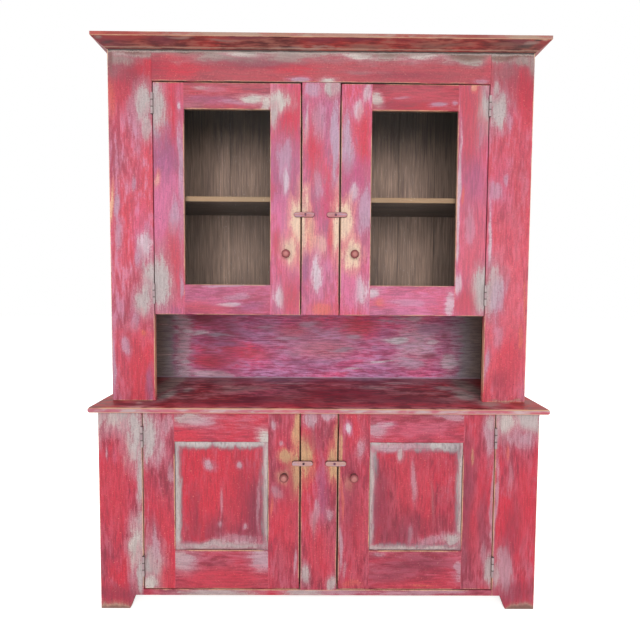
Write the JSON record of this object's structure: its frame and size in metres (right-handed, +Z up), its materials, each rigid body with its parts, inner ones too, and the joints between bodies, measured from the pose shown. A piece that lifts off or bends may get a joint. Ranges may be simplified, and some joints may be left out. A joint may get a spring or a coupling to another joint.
{
  "type": "kitchen buffet",
  "caption": "Step-back kitchen buffet in worn painted wood: panelled cupboards below, an open serving niche and glazed cupboards above, with knobs and turn buttons.",
  "frame": {"origin": "on the floor, at the middle of the whole outline in plan", "axes": "+Z up, +X to the right of someone who faces the doors, +Y to the back"},
  "size_m": [1.666, 0.588, 2.1015],
  "materials": {
    "case_paint": "worn red paint over grey-lavender",
    "door_paint": "worn red paint, rubbed at the edges",
    "counter_paint": "dark red paint, worn satin",
    "cornice_paint": "dark red paint, worn matt",
    "niche_paint": "thin red and grey paint, matt",
    "knob_paint": "dark red paint, worn on the crown",
    "button_paint": "pale worn paint",
    "bare_wood": "aged bare pine",
    "window_glass": "clear glass",
    "hinge_iron": "dark painted iron",
    "screw_steel": "dulled steel"
  },
  "bodies": {
    "root": {"lower_side_left": "case_paint", "lower_side_right": "case_paint", "lower_stile_left": "case_paint", "lower_stile_right": "case_paint", "lower_centre_stile": "case_paint", "lower_bottom_rail": "case_paint", "lower_top_stretcher": "bare_wood", "lower_bottom_board": "bare_wood", "lower_shelf": "bare_wood", "lower_back_boards": "bare_wood", "countertop": "counter_paint", "upper_side_left": "case_paint", "upper_side_right": "case_paint", "upper_stile_left": "case_paint", "upper_stile_right": "case_paint", "upper_centre_stile": "case_paint", "frieze_rail": "case_paint", "upper_top_board": "bare_wood", "upper_bottom_board": "bare_wood", "upper_shelf": "bare_wood", "upper_back_boards": "bare_wood", "niche_back_boards": "niche_paint", "cornice_front": "cornice_paint", "cornice_returns": "cornice_paint", "hinge_frame_leaves": "hinge_iron", "turn_button_screws": "screw_steel"},
    "upper_left_door": {"upper_left_door_hinge_stile": "door_paint", "upper_left_door_latch_stile": "door_paint", "upper_left_door_top_rail": "door_paint", "upper_left_door_bottom_rail": "door_paint", "upper_left_door_hinge_leaves": "hinge_iron", "upper_left_door_glass": "window_glass", "upper_left_door_beads": "bare_wood", "upper_left_knob": "knob_paint"},
    "upper_right_door": {"upper_right_door_hinge_stile": "door_paint", "upper_right_door_latch_stile": "door_paint", "upper_right_door_top_rail": "door_paint", "upper_right_door_bottom_rail": "door_paint", "upper_right_door_hinge_leaves": "hinge_iron", "upper_right_door_glass": "window_glass", "upper_right_door_beads": "bare_wood", "upper_right_knob": "knob_paint"},
    "lower_left_door": {"lower_left_door_hinge_stile": "door_paint", "lower_left_door_latch_stile": "door_paint", "lower_left_door_top_rail": "door_paint", "lower_left_door_bottom_rail": "door_paint", "lower_left_door_hinge_leaves": "hinge_iron", "lower_left_door_panel": "door_paint", "lower_left_knob": "knob_paint"},
    "lower_right_door": {"lower_right_door_hinge_stile": "door_paint", "lower_right_door_latch_stile": "door_paint", "lower_right_door_top_rail": "door_paint", "lower_right_door_bottom_rail": "door_paint", "lower_right_door_hinge_leaves": "hinge_iron", "lower_right_door_panel": "door_paint", "lower_right_knob": "knob_paint"},
    "upper_left_turn_button": {"upper_left_turn_button": "button_paint"},
    "upper_right_turn_button": {"upper_right_turn_button": "button_paint"},
    "lower_left_turn_button": {"lower_left_turn_button": "button_paint"},
    "lower_right_turn_button": {"lower_right_turn_button": "button_paint"}
  },
  "joints": [
    {"name": "upper_left_door_hinge", "type": "hinge", "parent": "root", "child": "upper_left_door", "pos_m": [-0.62075, -0.1874, 1.51675], "axis": [0, 0, -1], "range_deg": [0, 170]},
    {"name": "upper_right_door_hinge", "type": "hinge", "parent": "root", "child": "upper_right_door", "pos_m": [0.62075, -0.1874, 1.51675], "axis": [0, 0, 1], "range_deg": [0, 170]},
    {"name": "lower_left_door_hinge", "type": "hinge", "parent": "root", "child": "lower_left_door", "pos_m": [-0.64475, -0.2714, 0.40775], "axis": [0, 0, -1], "range_deg": [0, 170]},
    {"name": "lower_right_door_hinge", "type": "hinge", "parent": "root", "child": "lower_right_door", "pos_m": [0.64475, -0.2714, 0.40775], "axis": [0, 0, 1], "range_deg": [0, 170]},
    {"name": "upper_left_turn_button_pivot", "type": "hinge", "parent": "root", "child": "upper_left_turn_button", "pos_m": [-0.0565, -0.182, 1.465], "axis": [0, 1, 0], "range_deg": [0, 90]},
    {"name": "upper_right_turn_button_pivot", "type": "hinge", "parent": "root", "child": "upper_right_turn_button", "pos_m": [0.0565, -0.182, 1.465], "axis": [0, -1, 0], "range_deg": [0, 90]},
    {"name": "lower_left_turn_button_pivot", "type": "hinge", "parent": "root", "child": "lower_left_turn_button", "pos_m": [-0.0565, -0.266, 0.554], "axis": [0, 1, 0], "range_deg": [0, 90]},
    {"name": "lower_right_turn_button_pivot", "type": "hinge", "parent": "root", "child": "lower_right_turn_button", "pos_m": [0.0565, -0.266, 0.554], "axis": [0, -1, 0], "range_deg": [0, 90]}
  ]
}
